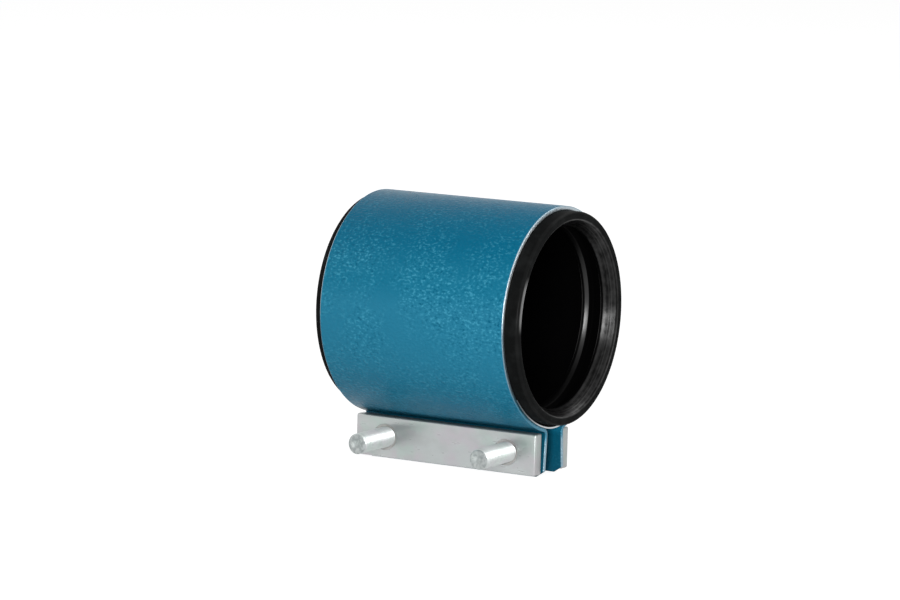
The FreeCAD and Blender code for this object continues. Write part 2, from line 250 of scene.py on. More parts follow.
def turned(name: str, outline: list[Corner], axis: Axis, steps: int, closed: bool = True) -> Piece:
    """Turn an outline about an axis through the origin, as on a lathe.

    Args:
        name: The piece's name.
        outline: Its corners, in order.
        axis: The axis of turning.
        steps: Segments round the axis.
        closed: Whether the last corner joins the first. An open outline ends on the axis.

    Returns:
        The turned solid.
    """
    direction = axis.value
    outward = Axis.UPWARD.value
    side = direction.cross(outward)
    places = [direction * corner.along + outward * corner.out for corner in outline]
    count = len(outline)
    piece = Piece.point(name, places[0])
    here = places[0]
    with piece.editing():
        for index in range(1, count):
            rounding = outline[index].rounding
            if not rounding:
                piece.line_by(places[index] - here)
                here = places[index]
                continue
            ahead = (places[(index + 1) % count] - places[index]).normalized()
            back = (places[index - 1] - places[index]).normalized()
            turn = HALF_TURN - back.angle(ahead)
            reach = rounding * math.tan(turn / 2)
            begin = places[index] + back * reach
            sense = math.copysign(1, (-back).cross(ahead).dot(side))
            centre = begin + side.cross(-back) * rounding * sense
            piece.line_by(begin - here)
            strips = max(CORNER_STRIPS, math.ceil(math.degrees(turn) / CORNER_DEGREES))
            piece.arc(centre, side, turn * sense, strips)
            here = places[index] + ahead * reach
        if closed:
            piece.line_by(places[0] - here)
        bpy.ops.mesh.select_all(action="SELECT")
        piece.arc(Vector(), direction, FULL_TURN, steps)
    piece.close_up()
    return piece


# Sizes that several pieces share


@dataclass(frozen=True)
class Sheet:
    """The bent profile of the band, in metres and degrees."""

    radius: float = CAD_BOX[1].z
    gauge: float = 2 * MM
    loose_start: float = 60.0
    loose_growth: float = 5.5 * MM
    fold_radius: float = 2 * MM
    ear_gap: float = 14.3 * MM
    splay: float = 4.0
    foot: float = CAD_BOX[0].z
    half_width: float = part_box("band")[1].x
    screw_height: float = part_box("front_bar")[0].z / 2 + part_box("front_bar")[1].z / 2

    def loose_centre(self, side: int) -> Vector:
        """Find the middle of a loose part; side is 1 for +Y and -1 for -Y."""
        lean = math.radians(self.loose_start)
        return Vector((0, -side * math.sin(lean), math.cos(lean))) * self.loose_growth

    def ear_upward(self, side: int) -> Vector:
        """Give the direction up an ear."""
        lean = math.radians(self.splay)
        return Vector((0, -side * math.sin(lean), math.cos(lean)))

    def ear_outward(self, side: int) -> Vector:
        """Give the direction from the gap out through an ear."""
        lean = math.radians(self.splay)
        return Vector((0, side * math.cos(lean), math.sin(lean)))

    def fold_centre(self, side: int) -> Vector:
        """Find the middle of a fold, tangent to the ear and to the loose part."""
        upward, outward = self.ear_upward(side), self.ear_outward(side)
        on_ear = Vector((0, side * self.ear_gap / 2, self.screw_height))
        line = on_ear + outward * (self.fold_radius + self.gauge) - self.loose_centre(side)
        reach = self.radius + self.loose_growth + self.fold_radius
        along = line.dot(upward)
        slide = -along - math.sqrt(along**2 - line.length_squared + reach**2)
        return self.loose_centre(side) + line + upward * slide

    def fold_angle(self) -> float:
        """Give the angle from straight down where a fold begins, in radians."""
        across = self.fold_centre(1) - self.loose_centre(1)
        return math.atan2(across.y, -across.z)


SHEET = Sheet()


@dataclass(frozen=True)
class Screws:
    """Where the screws run and how their thread is cut, in metres and radians."""

    radius: float = 4.97 * MM
    pitch: float = 1.5 * MM
    crest: float = pitch / 8
    root: float = pitch / 4
    flank_lean: float = math.radians(30)
    cut_off: float = 1.17 * pitch
    length: float = 60 * MM
    tip_bevel: float = 0.85 * MM
    flats: float = 17 * MM
    washer_gauge: float = 2 * MM
    head_height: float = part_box("screw_left")[1].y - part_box("rear_bar")[1].y - washer_gauge
    seat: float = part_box("washer_left")[1].y
    steps: int = 48

    def depth(self) -> float:
        """Give the depth of the thread."""
        return (self.pitch - self.crest - self.root) / 2 / math.tan(self.flank_lean)

    def place(self, side: str) -> Vector:
        """Find the middle of a screw's line at y = 0, from its CAD node."""
        low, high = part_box(f"washer_{side}")
        return Vector(((low.x + high.x) / 2, 0, (low.z + high.z) / 2))


SCREWS = Screws()


def thread(
    name: str, crest_out: float, crest: float, root: float, start: float, turns: int
) -> Piece:
    """Wind a closed right-hand thread about the Y axis.

    Args:
        name: The piece's name.
        crest_out: Radius of the crests.
        crest: Flat width of a crest.
        root: Flat width of a root.
        start: Y of the middle of the first crest.
        turns: Number of turns.

    Returns:
        A closed threaded rod.
    """
    flank = (SCREWS.pitch - crest - root) / 2
    depth = flank / math.tan(SCREWS.flank_lean)
    up, outward = Axis.ALONG_SCREWS.value, Axis.UPWARD.value
    piece = Piece.point(name, outward * (crest_out - depth) + up * (start - SCREWS.pitch / 2))
    with piece.editing():
        piece.line_by(up * root / 2)
        piece.line_by(up * flank + outward * depth)
        piece.line_by(up * crest)
        piece.line_by(up * flank - outward * depth)
        piece.line_by(up * root / 2)
    piece.modify(
        "SCREW",
        axis="Y",
        angle=FULL_TURN,
        screw_offset=SCREWS.pitch,
        iterations=turns,
        steps=SCREWS.steps,
        render_steps=SCREWS.steps,
        use_merge_vertices=True,
        merge_threshold=MERGE,
    )
    piece.cut(up * (start + SCREWS.cut_off), -up, fill=True)
    piece.cut(up * (start + SCREWS.pitch * turns - SCREWS.cut_off), up, fill=True)
    piece.close_up()
    return piece


# Finishes


def arithmetic(operation: str, swapped: bool = False) -> Callable[..., "Value"]:
    """Make a method that adds a Math node.

    Args:
        operation: What the node does.
        swapped: Whether the value stands on the right.

    Returns:
        The method.
    """

    def method(value: "Value", other: Any = 0) -> "Value":
        """Join a value and another one."""
        first, second = (other, value) if swapped else (value, other)
        return value.nodes.node("ShaderNodeMath", {"operation": operation}, {0: first, 1: second})

    return method


class Value:
    """A shader value: an output socket that plain arithmetic can use."""

    def __init__(self, nodes: "Nodes", socket: bpy.types.NodeSocket | None) -> None:
        """Wrap an output socket, or none after an output node."""
        self.nodes = nodes
        self.socket = socket

    __add__ = arithmetic("ADD")
    __radd__ = arithmetic("ADD", swapped=True)
    __sub__ = arithmetic("SUBTRACT")
    __rsub__ = arithmetic("SUBTRACT", swapped=True)
    __mul__ = arithmetic("MULTIPLY")
    __rmul__ = arithmetic("MULTIPLY", swapped=True)
    __abs__ = arithmetic("ABSOLUTE")
    __pow__ = arithmetic("POWER")


Colour = tuple[float, float, float]
Scale = tuple[float, float, float]

# Where a mask begins and where it is full
Span = tuple[float, float]

BLACK: Colour = (0.0, 0.0, 0.0)
WHITE: Colour = (1.0, 1.0, 1.0)


class Nodes:
    """A node tree of a material or of the world."""

    def __init__(self, owner: bpy.types.Material | bpy.types.World) -> None:
        """Empty the node tree of a material or of the world."""
        owner.use_nodes = True
        self.tree = owner.node_tree
        self.tree.nodes.clear()

    def node(
        self,
        kind: str,
        settings: dict[str, Any] | None = None,
        inputs: dict[str | int, Any] | None = None,
        output: str | int = 0,
    ) -> Value:
        """Add a node.

        Args:
            kind: The node's type.
            settings: Its properties, which are set first.
            inputs: Values or links of its sockets.
            output: The socket to return.

        Returns:
            The chosen output.
        """
        node = self.tree.nodes.new(kind)
        for name, value in (settings or {}).items():
            setattr(node, name, value)
        for name, value in (inputs or {}).items():
            self._feed(node.inputs[name], value)
        return Value(self, node.outputs[output] if node.outputs else None)

    def _feed(self, socket: bpy.types.NodeSocket, value: Any) -> None:
        """Set a socket, or link it if the value is a link."""
        if isinstance(value, Value):
            self.tree.links.new(value.socket, socket)
        elif isinstance(value, tuple) and socket.type == "RGBA":
            socket.default_value = (*value, 1)
        else:
            socket.default_value = value

    def place(self) -> Value:
        """Give the Object coordinates."""
        return self.node("ShaderNodeTexCoord", output="Object")

    def stretched(self, scale: Scale) -> Value:
        """Give the Object coordinates, scaled along each axis."""
        return self.node("ShaderNodeMapping", None, {"Vector": self.place(), "Scale": scale})

    def axis(self, axis: str) -> Value:
        """Give one of the Object coordinates."""
        return self.node("ShaderNodeSeparateXYZ", None, {0: self.place()}, axis)

    def from_bore(self) -> Value:
        """Give the distance from the bore axis."""
        across = self.stretched((0.0, 1.0, 1.0))
        return self.node("ShaderNodeVectorMath", {"operation": "LENGTH"}, {0: across}, "Value")

    def noise(
        self,
        size: float,
        detail: float = 2.0,
        rough: float = 0.5,
        scale: Scale = (1.0, 1.0, 1.0),
        at: Value | None = None,
    ) -> Value:
        """Add a noise whose lumps are about a given size.

        Args:
            size: Size of the lumps in metres.
            detail: Finer levels on top.
            rough: How strong those are.
            scale: How much the lumps are squeezed along each axis.
            at: Where it is read, if not at the scaled Object coordinates.

        Returns:
            The noise, about 0.3 to 0.7.
        """
        sockets = {
            "Vector": at or self.stretched(scale),
            "Scale": 1 / size,
            "Detail": detail,
            "Roughness": rough,
        }
        return self.node("ShaderNodeTexNoise", None, sockets)

    def ramp(self, value: Value, low: float, high: float) -> Value:
        """Stretch a value so that low becomes 0 and high, on either side, 1, and stop there."""
        sockets = {"Value": value, "From Min": low, "From Max": high}
        return self.node("ShaderNodeMapRange", {"interpolation_type": "SMOOTHSTEP"}, sockets)

    def mix(self, share: Any, first: Any, second: Any) -> Value:
        """Blend two colours by a share of the second."""
        sockets = {0: share, 6: first, 7: second}
        return self.node("ShaderNodeMix", {"data_type": "RGBA"}, sockets, 2)

    def seen(self) -> Value:
        """Tell camera, reflected and refracted rays from those that only carry light."""
        camera, glossy, through = (
            self.node("ShaderNodeLightPath", output=f"Is {kind} Ray")
            for kind in ("Camera", "Glossy", "Transmission")
        )
        return camera + glossy + through

    def bump(self, height: Value, distance: float, strength: float, below: Any = None) -> Value:
        """Turn a height into a normal.

        Args:
            height: The height, 0 to 1.
            distance: What a height of 1 stands for, in metres.
            strength: How much of the bump is used.
            below: A bump that lies under this one.

        Returns:
            The normal.
        """
        sockets = {"Height": height, "Distance": distance, "Strength": strength}
        if below is not None:
            sockets["Normal"] = below
        return self.node("ShaderNodeBump", None, sockets)


class Shader(Nodes):
    """A material made of nodes on Object coordinates."""

    def __init__(self, name: str) -> None:
        """Start an empty material."""
        self.material = bpy.data.materials.new(name)
        super().__init__(self.material)

    def finish(self, **sockets: Any) -> bpy.types.Material:
        """Close the material with a principled shader; an underscore stands for a space."""
        inputs = {name.replace("_", " "): value for name, value in sockets.items()}
        surface = self.node("ShaderNodeBsdfPrincipled", None, inputs)
        self.node("ShaderNodeOutputMaterial", None, {"Surface": surface})
        return self.material


@dataclass(frozen=True)
class BandPaint:
    """Blue hammered paint: smooth between small dimples, thin and pale on the cut edges.

    The colour also holds painted light and shade: painted shade over the top, painted light on
    the lower middle, painted highlights on the dimples' crests and painted shade in their pits,
    painted shade in the ears' gap and fold, and a painted highlight along the cut edges.

    Spans named at are heights over the bore; rim lies so far from the band's middle, corner
    and ears from the bore axis, and outside from the gap's middle.
    """

    colour: Colour = (0.016, 0.245, 0.402)
    deep: Colour = (0.009, 0.214, 0.362)
    # Painted shade: a darker tone towards the top of the band
    painted_top_shade: Colour = (0.002, 0.190, 0.340)
    # Painted light: a lighter tone on the lower middle of the band
    lower: Colour = (0.026, 0.262, 0.425)
    # Painted highlight on the dimples' crests, and painted shade in their pits
    crest: Colour = (0.070, 0.420, 0.610)
    painted_pit_shade: Colour = (0.001, 0.135, 0.250)
    # Painted shade in the ears' gap and in the fold above the bars
    painted_shade: Colour = (0.001, 0.065, 0.110)
    # Painted highlight along the cut edges; dulled below is the edges' own pale, thin paint
    painted_edge_highlight: Colour = (0.84, 0.90, 0.93)
    dulled: Colour = (0.29, 0.37, 0.42)
    filmed: Colour = (0.06, 0.22, 0.32)
    edge: Colour = (0.25, 0.38, 0.46)
    cloud: float = 22 * MM
    dimple: float = 1.05 * MM
    peel: float = 4.0 * MM
    clouded: Span = (0.2, 0.8)
    broken: Span = (0.30, 0.62)
    # Noise levels where the painted crest highlight and the painted pit shade begin and are full
    painted_highlight_crests: Span = (0.51, 0.70)
    pits: Span = (0.54, 0.73)
    # Heights of the painted top shade, and of the painted light on the lower middle
    painted_top_shade_at: Span = (20 * MM, 38 * MM)
    painted_light_top_at: Span = (18 * MM, 4 * MM)
    painted_light_foot_at: Span = (-38 * MM, -22 * MM)
    # Heights where the painted crest highlights and pit shade grow and fade; strongest from about 4
    # to 24 mm
    painted_glint_rise_at: Span = (-14 * MM, 4 * MM)
    painted_glint_fade_at: Span = (24 * MM, 40 * MM)
    # Heights of the painted shade in the gap and in the fold
    gap_shade_at: Span = (-53 * MM, -58 * MM)
    fold_shade_at: Span = (-49.5 * MM, -52 * MM)
    # Heights where the painted edge highlight begins, and where it fades out towards the top
    painted_edge_highlight_at: Span = (-6 * MM, 8 * MM)
    highlight_fade_at: Span = (42 * MM, 52 * MM)
    filmed_at: Span = (-26 * MM, -40 * MM)
    rim: Span = (SHEET.half_width - 0.5 * MM, SHEET.half_width - 0.3 * MM)
    corner: Span = (SHEET.radius - 0.8 * MM, SHEET.radius - 0.4 * MM)
    ears: Span = (SHEET.radius + 4 * MM, SHEET.radius + 8 * MM)
    outside: Span = (7.9 * MM, 8.5 * MM)

    def make(self) -> bpy.types.Material:
        """Build the material."""
        shader = Shader("band_paint")
        cloud = shader.noise(self.cloud, detail=3)
        height = shader.axis("Z")
        body = shader.mix(shader.ramp(cloud, *self.clouded), self.deep, self.colour)
        # Painted shade: darker towards the top
        body = shader.mix(shader.ramp(height, *self.painted_top_shade_at), body, self.painted_top_shade)
        # Painted light: lighter on the lower middle of the band
        middle = shader.ramp(height, *self.painted_light_top_at) * shader.ramp(height, *self.painted_light_foot_at)
        body = shader.mix(middle, body, self.lower)
        # Painted highlight on the crests and painted shade in the pits, strongest where the light
        # falls
        hammer = shader.noise(self.dimple, scale=(0.7, 1.0, 1.0))
        strength = 0.65 + 0.35 * shader.ramp(height, *self.painted_glint_rise_at)
        strength = strength - 0.5 * shader.ramp(height, *self.painted_glint_fade_at)
        strength = strength * shader.ramp(cloud, *self.broken)
        body = shader.mix(strength * shader.ramp(hammer, *self.painted_highlight_crests), body, self.crest)
        painted_dip_shade = 0.9 * strength * shader.ramp(1.0 - hammer, *self.pits)
        body = shader.mix(painted_dip_shade, body, self.painted_pit_shade)
        # Painted shade on the ears' inner faces in the gap, and on the fold just above the bars
        outside = shader.ramp(abs(shader.axis("Y")), *self.outside)
        gap_painted_shade = (1.0 - outside) * shader.ramp(height, *self.gap_shade_at)
        fold_painted_shade = outside * shader.ramp(height, *self.fold_shade_at)
        body = shader.mix(0.7 * gap_painted_shade + 0.85 * fold_painted_shade, body, self.painted_shade)
        spread = shader.from_bore()
        # Painted highlight along the cut edge above about 8 mm, fading back to the plain pale edge
        # at the top
        cut = shader.mix(shader.ramp(height, *self.painted_edge_highlight_at), self.dulled, self.painted_edge_highlight)
        cut = shader.mix(0.7 * shader.ramp(height, *self.highlight_fade_at), cut, self.dulled)
        cut = shader.mix(shader.ramp(height, *self.filmed_at), cut, self.filmed)
        cut = shader.mix(0.35 * shader.ramp(spread, *self.corner), cut, self.filmed)
        cut = shader.mix(shader.ramp(spread, *self.ears), cut, self.edge)
        rim = shader.ramp(abs(shader.axis("X")), *self.rim)
        skin = shader.bump(shader.noise(self.peel), distance=0.25 * MM, strength=0.5)
        skin = shader.bump(hammer, distance=0.45 * MM, strength=0.8, below=skin)
        return shader.finish(
            Base_Color=shader.mix(rim, body, cut),
            Metallic=0.6 * rim,
            Roughness=0.24 + 0.08 * cloud,
            Normal=skin,
            Specular_IOR_Level=0.06,
        )


@dataclass(frozen=True)
class SleeveRubber:
    """Moulded black rubber, matt outside and polished where it seals, with a dusty bloom.

    Mouth, lip, brim and gloss are distances from the bore axis, cone and rim from the middle.
    """

    colour: Colour = (0.0015, 0.0015, 0.0016)
    bloom: Colour = (0.017, 0.018, 0.018)
    ring: float = 0.8 * MM
    patches: Span = (0.42, 0.72)
    streaks: Span = (0.36, 0.62)
    mouth: Span = (47.6 * MM, 47.2 * MM)
    lip: Span = (44.6 * MM, 44.4 * MM)
    lip_heights: Span = (8 * MM, 34 * MM)
    cone: Span = (48.4 * MM, 48.6 * MM)
    rim: Span = (53.8 * MM, 54.2 * MM)
    brim: Span = (50.0 * MM, 50.2 * MM)
    gloss: Span = (50.0 * MM, 49.5 * MM)
    gloss_height: float = 11.0 * MM
    gloss_reach: Span = (14 * MM, 6 * MM)
    gloss_front: Span = (0.0, -5 * MM)

    def make(self) -> bpy.types.Material:
        """Build the material."""
        shader = Shader("sleeve_rubber")
        patch = shader.ramp(shader.noise(7 * MM, detail=4, rough=0.6), *self.patches)
        spread = shader.from_bore()
        height = shader.axis("Z")
        along = abs(shader.axis("X") - CAD_BOX[0].x / 2 - CAD_BOX[1].x / 2)
        within = shader.ramp(spread, *self.mouth)
        lips = shader.ramp(spread, *self.lip)
        lips = lips * (1.15 - shader.ramp(abs(height), *self.lip_heights))
        cone = shader.ramp(along, *self.cone)
        rim = shader.ramp(along, *self.rim)
        brim = rim * shader.ramp(spread, *self.brim)
        gloss = rim * shader.ramp(abs(height - self.gloss_height), *self.gloss_reach)
        gloss = gloss * shader.ramp(shader.axis("Y"), *self.gloss_front)
        gloss = gloss * shader.ramp(spread, *self.gloss)
        drawn = shader.node("ShaderNodeCombineXYZ", None, {0: along, 1: spread})
        rings = shader.noise(self.ring, detail=3, at=drawn)
        blotch = shader.noise(5 * MM, detail=4, rough=0.6, scale=(2.0, 1.0, 1.0))
        streak = 0.10 + 0.58 * shader.ramp(0.6 * rings + 0.4 * blotch, *self.streaks)
        inside = within * (0.7 * lips * (1.0 - cone) + cone * streak)
        dust = (0.5 + 0.5 * patch) * (1.0 - within)
        skin = shader.bump(shader.noise(0.6 * MM, detail=3), distance=0.03 * MM, strength=0.5)
        lumps = shader.noise(3.5 * MM)
        skin = shader.bump(lumps, distance=0.10 * MM, strength=0.3, below=skin)
        return shader.finish(
            Base_Color=shader.mix(dust, self.colour, self.bloom),
            Roughness=0.45 + 0.16 * patch,
            Normal=skin,
            Specular_IOR_Level=0.006,
            Coat_Weight=inside + 0.06 * brim + 1.6 * gloss,
            Coat_Roughness=0.28,
            Coat_IOR=1.55,
        )


@dataclass(frozen=True)
class ZincPlate:
    """Bright zinc plating with a faint passivated tint over rolled or cut steel.

    Sheared is the brightness left at a bar's ends, tip the share of painted shade on a screw's end
    face, and sunk the radius of the countersinks, which carry a painted highlight.
    """

    name: str = "zinc_bar"
    colour: Colour = (0.52, 0.545, 0.54)
    rose: Colour = (0.53, 0.505, 0.53)
    mint: Colour = (0.48, 0.55, 0.52)
    dull: Colour = (0.47, 0.49, 0.485)
    # Painted shade that darkens a screw's end face
    painted_end_shade: Colour = (0.26, 0.29, 0.29)
    # Painted highlight: a pale tone that the countersinks get, with no metal
    painted_countersink_light: Colour = (0.88, 0.84, 0.82)
    metal: float = 0.65
    roughness: float = 0.22
    sheared: float = 1.0
    tip: float = 0.0
    sunk: float = 0.0
    rosy: Span = (0.45, 0.66)
    minty: Span = (0.48, 0.68)
    worn: Span = (0.45, 0.70)
    grain: Span = (0.36, 0.60)
    end_depth: Span = (0.6 * MM, 0.3 * MM)
    end_shade_depth: Span = (1.4 * MM, 0.9 * MM)

    def make(self) -> bpy.types.Material:
        """Build the material."""
        shader = Shader(self.name)
        low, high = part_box("front_bar")
        middle = (low.x + high.x) / 2
        along = abs(shader.axis("X") - middle)
        end = (1.0 - self.sheared) * shader.ramp((high.x - low.x) / 2 - along, *self.end_depth)
        rosy = shader.ramp(shader.noise(14 * MM), *self.rosy)
        colour = shader.mix(rosy, self.colour, self.rose)
        minty = shader.ramp(shader.noise(11 * MM, detail=3), *self.minty)
        colour = shader.mix(minty, colour, self.mint)
        worn = shader.noise(6 * MM, detail=4, rough=0.6, scale=(0.6, 1.0, 1.0))
        colour = shader.mix(0.7 * shader.ramp(worn, *self.worn), colour, self.dull)
        colour = shader.mix(end, colour, BLACK)
        # Painted shade on a screw's end face, grainy, over its last millimetre
        depth = shader.axis("Y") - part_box("screw_left")[0].y
        tip = self.tip * shader.ramp(depth, *self.end_shade_depth)
        grain = shader.ramp(shader.noise(1.8 * MM, detail=3), *self.grain)
        colour = shader.mix(tip * (0.3 + 0.7 * grain), colour, self.painted_end_shade)
        # Painted highlight: the countersinks round each screw are painted pale and lose their metal
        place = SCREWS.place("right")
        across = along - (place.x - middle)
        above = shader.axis("Z") - place.z
        spread = (across * across + above * above) ** 0.5
        hole = 0.8 * shader.ramp(spread, self.sunk, self.sunk - 0.2 * MM)
        streaks = shader.noise(11 * MM, detail=3, scale=(1.0, 9.0, 9.0))
        skin = shader.bump(streaks, distance=0.05 * MM, strength=0.5)
        pits = shader.noise(0.5 * MM, detail=3)
        skin = shader.bump(pits, distance=0.02 * MM, strength=0.6, below=skin)
        return shader.finish(
            Base_Color=shader.mix(hole, colour, self.painted_countersink_light),
            Metallic=self.metal * (1.0 - hole),
            Roughness=self.roughness + 0.16 * streaks + end,
            Normal=skin,
        )


@dataclass(frozen=True)
class BrightSheet:
    """Plain bright sheet steel, faintly brushed along the bore."""

    colour: Colour = (0.55, 0.57, 0.58)
    scratch: float = 0.4 * MM

    def make(self) -> bpy.types.Material:
        """Build the material."""
        shader = Shader("bright_sheet")
        brushed = shader.noise(self.scratch, scale=(0.05, 1.0, 1.0))
        return shader.finish(
            Base_Color=self.colour,
            Metallic=1.0,
            Roughness=0.22 + 0.2 * brushed,
            Normal=shader.bump(brushed, distance=0.01 * MM, strength=0.4),
        )


# Sub-assemblies


@dataclass
class Band:
    """The painted band: one sheet folded into an ear, rolled round, and folded again."""

    paint: bpy.types.Material
    sheet: Sheet = SHEET
    ear_hole: float = 6.5 * MM
    punch_reach: float = 20 * MM
    punch_steps: int = 48
    corner_run: float = 4.5 * MM
    corner_rise: float = 3 * MM
    edge_round: float = 0.5 * MM
    degrees_a_step: float = 2.0
    fold_steps: int = 14

    def build(self) -> None:
        """Fold the sheet, trim and punch it, and paint it."""
        piece = self.folded_sheet()
        self.trim(piece)
        piece.modify("SOLIDIFY", thickness=self.sheet.gauge, offset=0, use_even_offset=True)
        self.punch(piece)
        piece.soften(self.edge_round, segments=3, above=50)
        piece.shade()
        piece.dress("connector", Slot.BAND, self.paint, "band")

    def folded_sheet(self) -> Piece:
        """Draw the middle of the sheet from one ear's foot to the other's, and widen it."""
        sheet = self.sheet
        middle = sheet.gauge / 2
        bore = Axis.ALONG_BORE.value
        fold = sheet.fold_angle()
        lean = math.radians(sheet.splay)
        loose = math.radians(sheet.loose_start)
        turn = QUARTER_TURN + lean - fold
        flare = loose - fold
        shell = FULL_TURN - 2 * loose
        top = sheet.fold_centre(1) - sheet.ear_outward(1) * (sheet.fold_radius + middle)
        length = (top.z - sheet.foot) / math.cos(lean) - middle * math.tan(lean)
        start = top - sheet.ear_upward(1) * length - bore * sheet.half_width
        piece = Piece.point("painted_band", start)
        with piece.editing():
            piece.line_by(sheet.ear_upward(1) * length)
            piece.arc(sheet.fold_centre(1), bore, -turn, self.fold_steps)
            piece.arc(sheet.loose_centre(1), bore, flare, self.steps(flare))
            piece.arc(Vector(), bore, shell, self.steps(shell))
            piece.arc(sheet.loose_centre(-1), bore, flare, self.steps(flare))
            piece.arc(sheet.fold_centre(-1), bore, -turn, self.fold_steps)
            piece.line_by(sheet.ear_upward(-1) * -length)
            bpy.ops.mesh.select_all(action="SELECT")
            piece.line_by(bore * 2 * sheet.half_width)
        piece.close_up()
        return piece

    def steps(self, angle: float) -> int:
        """Give the number of segments for an arc."""
        return math.ceil(math.degrees(angle) / self.degrees_a_step)

    def trim(self, piece: Piece) -> None:
        """Cut the lower corners off the ears."""
        for sign in (-1, 1):
            normal = Vector((sign * self.corner_rise, 0, -self.corner_run))
            corner = Vector((sign * self.sheet.half_width, 0, self.sheet.foot + self.corner_rise))
            piece.cut(corner, normal)

    def punch(self, piece: Piece) -> None:
        """Punch the holes through both ears."""
        middle = Vector((0, 0, self.sheet.screw_height))
        spacing = SCREWS.place("right").x - SCREWS.place("left").x
        reach, out = self.punch_reach, self.ear_hole
        hole = [Corner(-reach, 0), Corner(-reach, out), Corner(reach, out), Corner(reach, 0)]
        for sign in (-1, 1):
            tool = turned("ear_punch", hole, Axis.ALONG_SCREWS, self.punch_steps, closed=False)
            tool.move(middle + Axis.ALONG_BORE.value * sign * spacing / 2)
            piece.combine(tool, "DIFFERENCE")


@dataclass
class BridgePlate:
    """The thin sheet under the sleeve that spans the band's gap."""

    finish: bpy.types.Material
    gauge: float = 0.8 * MM
    reach: float = 48.0
    seat: float = 0.03 * MM
    edge_round: float = 0.15 * MM
    wing_steps: int = 20
    bridge_steps: int = 16

    def profile(self, name: str, inward: float, outward: float, half_width: float) -> Piece:
        """Draw the plate's bent shape as a sheet and thicken it.

        Args:
            name: The piece's name.
            inward: Thickness from the plate's outside inwards.
            outward: Thickness added outwards.
            half_width: Half of its width along the bore.

        Returns:
            A bent plate.
        """
        bore = Axis.ALONG_BORE.value
        fold = SHEET.fold_angle()
        reach = math.radians(self.reach)
        loose_inner = SHEET.radius + SHEET.loose_growth - SHEET.gauge - self.seat
        middle = loose_inner + (outward - inward) / 2
        side = SHEET.loose_centre(1)
        bridge = Vector((0, 0, side.z - abs(side.y) / math.tan(fold)))
        start = side + Vector((0, math.sin(reach), -math.cos(reach))) * middle
        piece = Piece.point(name, start - bore * half_width)
        with piece.editing():
            piece.arc(side, bore, fold - reach, self.wing_steps)
            piece.arc(bridge, bore, -2 * fold, self.bridge_steps)
            piece.arc(SHEET.loose_centre(-1), bore, fold - reach, self.wing_steps)
            bpy.ops.mesh.select_all(action="SELECT")
            piece.line_by(bore * 2 * half_width)
        piece.close_up()
        piece.modify("SOLIDIFY", thickness=inward + outward, offset=0, use_even_offset=True)
        return piece

    def build(self) -> None:
        """Make the plate."""
        piece = self.profile("bridge_sheet", self.gauge, 0.0, SHEET.half_width)
        piece.soften(self.edge_round)
        piece.shade()
        piece.dress("connector", Slot.SHEET, self.finish, "bridge_plate")


@dataclass
class Sleeve:
    """The rubber sleeve with two sealing lips at each end."""

    rubber: bpy.types.Material
    plate: BridgePlate
    radius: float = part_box("sleeve")[1].y
    length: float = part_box("sleeve")[1].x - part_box("sleeve")[0].x
    middle: float = (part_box("sleeve")[1].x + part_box("sleeve")[0].x) / 2
    rim_rubber: float = 4.0 * MM
    lip_rubber: float = 7.45 * MM
    groove_rubber: float = 4.55 * MM
    middle_rubber: float = 5.75 * MM
    lip_depth: float = 6.6 * MM
    lip_land: float = 1.4 * MM
    lip_back: float = 1.2 * MM
    groove_floor: float = 4.5 * MM
    groove_ramp: float = 1.3 * MM
    lead_length: float = 1.7 * MM
    lead_rise: float = 0.9 * MM
    rim_round: float = 1.4 * MM
    mouth_round: float = 2.2 * MM
    lip_round: float = 0.45 * MM
    groove_round: float = 0.9 * MM
    pocket_depth: float = 2 * MM
    steps: int = 180

    def outline(self) -> list[Corner]:
        """List the corners of the section, from the middle of the outside to the bore."""
        mouth, lip, groove, bore = (
            self.radius - rubber
            for rubber in (self.rim_rubber, self.lip_rubber, self.groove_rubber, self.middle_rubber)
        )
        walk = [
            (0.0, self.radius, self.rim_round),
            (0.0, mouth, self.mouth_round),
            (self.lip_depth, lip, self.lip_round),
            (self.lip_land, lip, self.lip_round),
            (self.lip_back, groove, self.groove_round),
            (self.groove_floor, groove, self.groove_round),
            (self.groove_ramp, lip + self.lead_rise, self.lip_round),
            (self.lead_length, lip, self.lip_round),
            (self.lip_land, lip, self.lip_round),
            (self.lip_back, bore, 0.0),
        ]
        station = self.length / 2
        half = []
        for step, out, rounding in walk:
            station -= step
            half.append(Corner(station, out, rounding))
        other = [Corner(-corner.along, corner.out, corner.rounding) for corner in reversed(half)]
        return [Corner(0.0, self.radius), *half, *other]

    def build(self) -> None:
        """Turn the sleeve and press the bridge plate's pocket into it."""
        piece = turned("rubber_sleeve", self.outline(), Axis.ALONG_BORE, self.steps)
        piece.move(Axis.ALONG_BORE.value * self.middle)
        seat = self.plate.seat
        half_width = SHEET.half_width + seat
        inward, outward = self.plate.gauge + seat, self.pocket_depth
        pocket = self.plate.profile("plate_pocket", inward, outward, half_width)
        piece.combine(pocket, "DIFFERENCE")
        piece.shade(40)
        piece.dress("connector", Slot.SLEEVE, self.rubber, "sleeve")


